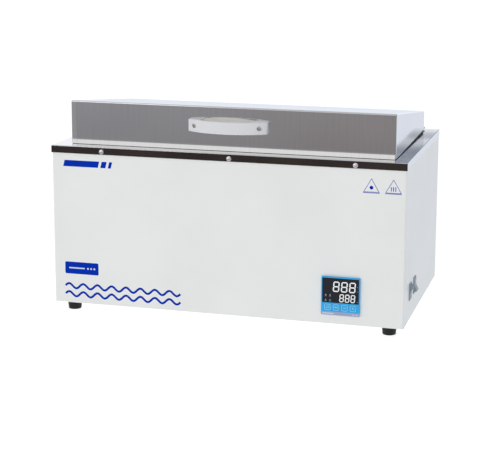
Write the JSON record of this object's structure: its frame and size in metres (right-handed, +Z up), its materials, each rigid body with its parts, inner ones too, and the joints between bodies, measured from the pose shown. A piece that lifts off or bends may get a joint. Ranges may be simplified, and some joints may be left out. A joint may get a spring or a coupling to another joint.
{
  "type": "laboratory water bath",
  "caption": "Thermostatic water bath: painted sheet cabinet on rubber feet, stainless tank and deck, hinged wedge-shaped steel lid with bow handle, square controller and side rocker switches.",
  "frame": {"origin": "centre of the object's box on the surface that it stands on", "axes": "+X to the operator's right along the cabinet, +Y to the rear, +Z up"},
  "size_m": [0.6862, 0.4774, 0.4067],
  "materials": {
    "cabinet_paint": "fine powder coat, off-white",
    "stainless": "brushed along its length",
    "dark_trim": "polished, very dark brown-black",
    "chrome_screws": "polished",
    "zinc_screws": "zinc plated",
    "mineral_wool": "fibrous",
    "heater_sheath": "heat tinted steel",
    "brass_fittings": "machined",
    "nickel_fittings": "nickel plated brass",
    "black_rubber": "matt",
    "handle_plastic": "moulded, off-white",
    "controller_blue": "satin, bright blue",
    "controller_grey": "satin, grey",
    "display_face": "smooth dark window with lit digits",
    "key_blue": "soft satin with lighter outline",
    "circuit_board": "solder mask",
    "black_plastic": "moulded",
    "switch_grey": "moulded, blue grey",
    "lever_blue": "dipped grip",
    "relay_plastic": "moulded",
    "heat_sink": "extruded"
  },
  "bodies": {
    "cabinet": {"cabinet_shell": "cabinet_paint", "base_plate": "cabinet_paint", "back_panel": "cabinet_paint", "back_panel_screws": "zinc_screws", "foot_screws": "zinc_screws", "top_deck": "stainless", "front_trim_strip": "dark_trim", "trim_screws": "chrome_screws", "inner_tank": "stainless", "tank_insulation": "mineral_wool", "heater_tube": "heater_sheath", "heater_support": "stainless", "heater_glands": "brass_fittings", "gland_nuts": "brass_fittings", "temperature_probe": "stainless", "probe_gland": "brass_fittings", "thermal_cutout": "black_plastic", "drain_pipe": "stainless", "drain_valve_body": "nickel_fittings", "drain_nozzle": "nickel_fittings", "hinge_deck_leaf": "stainless", "hinge_pin": "zinc_screws", "hinge_screws": "zinc_screws", "controller_bezel": "controller_blue", "controller_strip": "controller_grey", "display_window": "display_face", "controller_board": "circuit_board", "controller_housing": "black_plastic", "controller_clamp": "black_plastic", "power_switch_housing": "switch_grey", "heater_switch_housing": "switch_grey", "cable_gland_body": "black_plastic", "cable_gland_cap": "black_plastic", "cable_gland_locknut": "black_plastic", "fuse_holder": "black_plastic", "earth_stud": "brass_fittings", "relay_heat_sink": "heat_sink", "solid_state_relay": "relay_plastic", "foot_front_left": "black_rubber", "foot_front_right": "black_rubber", "foot_rear_left": "black_rubber", "foot_rear_right": "black_rubber"},
    "lid": {"lid_shell": "stainless", "lid_gasket": "black_rubber", "lid_handle": "handle_plastic", "handle_screws": "zinc_screws", "hinge_lid_leaf": "stainless", "lid_rivets": "zinc_screws"},
    "power_rocker": {"power_switch_rocker": "switch_grey"},
    "heater_rocker": {"heater_switch_rocker": "switch_grey"},
    "shelf": {"perforated_shelf": "stainless", "shelf_legs": "stainless"},
    "drain_valve": {"drain_valve_ball": "chrome_screws", "drain_valve_stem": "zinc_screws", "drain_lever": "lever_blue"},
    "fuse_carrier": {"fuse_cap": "black_plastic"},
    "set_key": {"key_set": "key_blue"},
    "shift_key": {"key_shift": "key_blue"},
    "down_key": {"key_down": "key_blue"},
    "up_key": {"key_up": "key_blue"}
  },
  "joints": [
    {"name": "lid_hinge", "type": "hinge", "parent": "cabinet", "child": "lid", "pos_m": [-0.00105, 0.15275, 0.3275], "axis": [-1, 0, 0], "range_deg": [0, 95]},
    {"name": "power_switch", "type": "hinge", "parent": "cabinet", "child": "power_rocker", "pos_m": [0.33485, -0.16625, 0.0715], "axis": [0, -1, 0], "range_deg": [0, 24]},
    {"name": "heater_switch", "type": "hinge", "parent": "cabinet", "child": "heater_rocker", "pos_m": [0.33485, -0.11725, 0.0715], "axis": [0, 1, 0], "range_deg": [0, 24]},
    {"name": "shelf_lift", "type": "slide", "parent": "cabinet", "child": "shelf", "axis": [0, 0, 1], "range_m": [0, 0.17]},
    {"name": "drain_valve_turn", "type": "hinge", "parent": "cabinet", "child": "drain_valve", "pos_m": [-0.25305, 0.18575, 0.075], "axis": [0, 0, 1], "range_deg": [0, 90]},
    {"name": "fuse_cap_turn", "type": "hinge", "parent": "cabinet", "child": "fuse_carrier", "pos_m": [0.20195, 0.16475, 0.06], "axis": [0, -1, 0], "range_deg": [0, 90]},
    {"name": "set_key_press", "type": "slide", "parent": "cabinet", "child": "set_key", "axis": [0, 1, 0], "range_m": [0, 0.0006], "stiffness_N_per_m": 500},
    {"name": "shift_key_press", "type": "slide", "parent": "cabinet", "child": "shift_key", "axis": [0, 1, 0], "range_m": [0, 0.0006], "stiffness_N_per_m": 500},
    {"name": "down_key_press", "type": "slide", "parent": "cabinet", "child": "down_key", "axis": [0, 1, 0], "range_m": [0, 0.0006], "stiffness_N_per_m": 500},
    {"name": "up_key_press", "type": "slide", "parent": "cabinet", "child": "up_key", "axis": [0, 1, 0], "range_m": [0, 0.0006], "stiffness_N_per_m": 500}
  ]
}
